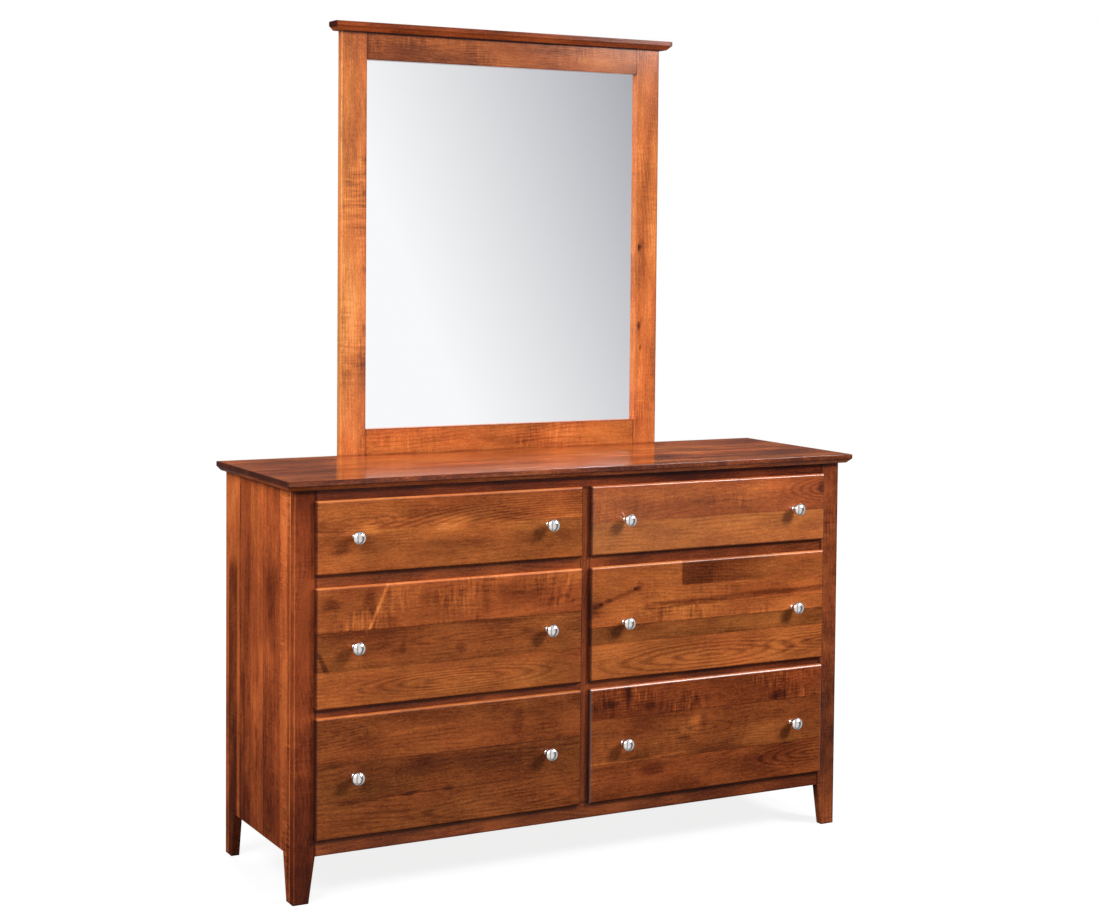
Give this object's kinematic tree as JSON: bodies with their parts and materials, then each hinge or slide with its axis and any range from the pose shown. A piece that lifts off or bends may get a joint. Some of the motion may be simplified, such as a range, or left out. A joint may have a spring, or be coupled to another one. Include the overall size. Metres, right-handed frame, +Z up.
{
  "type": "dresser with mirror",
  "caption": "Low wooden chest with two columns of sliding drawers under a bevelled top, on short tapered legs, with an upright framed mirror fixed to its back edge.",
  "frame": {"origin": "on the floor, under the middle of the whole object's bounding box", "axes": "+Z up, +Y from the front to the back, +X to the right as seen from the front"},
  "size_m": [1.524, 0.518, 2.017],
  "materials": {
    "stained_maple": "brown maple, warm reddish-brown stain, glossy lacquer",
    "plain_wood": "pale hardwood, clear satin lacquer",
    "plywood": "birch plywood, clear satin lacquer",
    "satin_nickel": "satin nickel",
    "zinc_steel": "bright zinc plate",
    "mirror_glass": "silvered clear glass"
  },
  "bodies": {
    "case": {"left_side_panel": "stained_maple", "right_side_panel": "stained_maple", "left_front_stile": "stained_maple", "right_front_stile": "stained_maple", "top_rail": "stained_maple", "bottom_rail": "stained_maple", "centre_stile": "stained_maple", "upper_drawer_rails": "stained_maple", "lower_drawer_rails": "stained_maple", "centre_partition": "plain_wood", "back_panel": "plywood", "back_rails": "plain_wood", "top_board": "stained_maple", "mirror_left_stile": "stained_maple", "mirror_right_stile": "stained_maple", "mirror_top_rail": "stained_maple", "mirror_bottom_rail": "stained_maple", "mirror_cap": "stained_maple", "mirror_glass": "mirror_glass", "mirror_backing": "plywood", "mirror_supports": "stained_maple", "slide_battens": "plain_wood", "case_slides": "zinc_steel"},
    "upper_left_drawer": {"upper_left_drawer_front": "stained_maple", "upper_left_knobs": "satin_nickel", "upper_left_drawer_box": "plain_wood", "upper_left_drawer_bottom": "plywood", "upper_left_drawer_slides": "zinc_steel"},
    "upper_left_slide_middles": {"upper_left_middle_slides": "zinc_steel"},
    "upper_right_drawer": {"upper_right_drawer_front": "stained_maple", "upper_right_knobs": "satin_nickel", "upper_right_drawer_box": "plain_wood", "upper_right_drawer_bottom": "plywood", "upper_right_drawer_slides": "zinc_steel"},
    "upper_right_slide_middles": {"upper_right_middle_slides": "zinc_steel"},
    "middle_left_drawer": {"middle_left_drawer_front": "stained_maple", "middle_left_knobs": "satin_nickel", "middle_left_drawer_box": "plain_wood", "middle_left_drawer_bottom": "plywood", "middle_left_drawer_slides": "zinc_steel"},
    "middle_left_slide_middles": {"middle_left_middle_slides": "zinc_steel"},
    "middle_right_drawer": {"middle_right_drawer_front": "stained_maple", "middle_right_knobs": "satin_nickel", "middle_right_drawer_box": "plain_wood", "middle_right_drawer_bottom": "plywood", "middle_right_drawer_slides": "zinc_steel"},
    "middle_right_slide_middles": {"middle_right_middle_slides": "zinc_steel"},
    "lower_left_drawer": {"lower_left_drawer_front": "stained_maple", "lower_left_knobs": "satin_nickel", "lower_left_drawer_box": "plain_wood", "lower_left_drawer_bottom": "plywood", "lower_left_drawer_slides": "zinc_steel"},
    "lower_left_slide_middles": {"lower_left_middle_slides": "zinc_steel"},
    "lower_right_drawer": {"lower_right_drawer_front": "stained_maple", "lower_right_knobs": "satin_nickel", "lower_right_drawer_box": "plain_wood", "lower_right_drawer_bottom": "plywood", "lower_right_drawer_slides": "zinc_steel"},
    "lower_right_slide_middles": {"lower_right_middle_slides": "zinc_steel"}
  },
  "joints": [
    {"name": "upper_left_drawer_slide", "type": "slide", "parent": "case", "child": "upper_left_drawer", "axis": [0, -1, 0], "range_m": [0, 0.36]},
    {"name": "upper_left_slide_extension", "type": "slide", "parent": "case", "child": "upper_left_slide_middles", "axis": [0, -1, 0], "range_m": [0, 0.18]},
    {"name": "upper_right_drawer_slide", "type": "slide", "parent": "case", "child": "upper_right_drawer", "axis": [0, -1, 0], "range_m": [0, 0.36]},
    {"name": "upper_right_slide_extension", "type": "slide", "parent": "case", "child": "upper_right_slide_middles", "axis": [0, -1, 0], "range_m": [0, 0.18]},
    {"name": "middle_left_drawer_slide", "type": "slide", "parent": "case", "child": "middle_left_drawer", "axis": [0, -1, 0], "range_m": [0, 0.36]},
    {"name": "middle_left_slide_extension", "type": "slide", "parent": "case", "child": "middle_left_slide_middles", "axis": [0, -1, 0], "range_m": [0, 0.18]},
    {"name": "middle_right_drawer_slide", "type": "slide", "parent": "case", "child": "middle_right_drawer", "axis": [0, -1, 0], "range_m": [0, 0.36]},
    {"name": "middle_right_slide_extension", "type": "slide", "parent": "case", "child": "middle_right_slide_middles", "axis": [0, -1, 0], "range_m": [0, 0.18]},
    {"name": "lower_left_drawer_slide", "type": "slide", "parent": "case", "child": "lower_left_drawer", "axis": [0, -1, 0], "range_m": [0, 0.36]},
    {"name": "lower_left_slide_extension", "type": "slide", "parent": "case", "child": "lower_left_slide_middles", "axis": [0, -1, 0], "range_m": [0, 0.18]},
    {"name": "lower_right_drawer_slide", "type": "slide", "parent": "case", "child": "lower_right_drawer", "axis": [0, -1, 0], "range_m": [0, 0.36]},
    {"name": "lower_right_slide_extension", "type": "slide", "parent": "case", "child": "lower_right_slide_middles", "axis": [0, -1, 0], "range_m": [0, 0.18]}
  ],
  "couplings": [
    {"joint": "upper_left_slide_extension", "follows": "upper_left_drawer_slide", "ratio": 0.5},
    {"joint": "upper_right_slide_extension", "follows": "upper_right_drawer_slide", "ratio": 0.5},
    {"joint": "middle_left_slide_extension", "follows": "middle_left_drawer_slide", "ratio": 0.5},
    {"joint": "middle_right_slide_extension", "follows": "middle_right_drawer_slide", "ratio": 0.5},
    {"joint": "lower_left_slide_extension", "follows": "lower_left_drawer_slide", "ratio": 0.5},
    {"joint": "lower_right_slide_extension", "follows": "lower_right_drawer_slide", "ratio": 0.5}
  ]
}
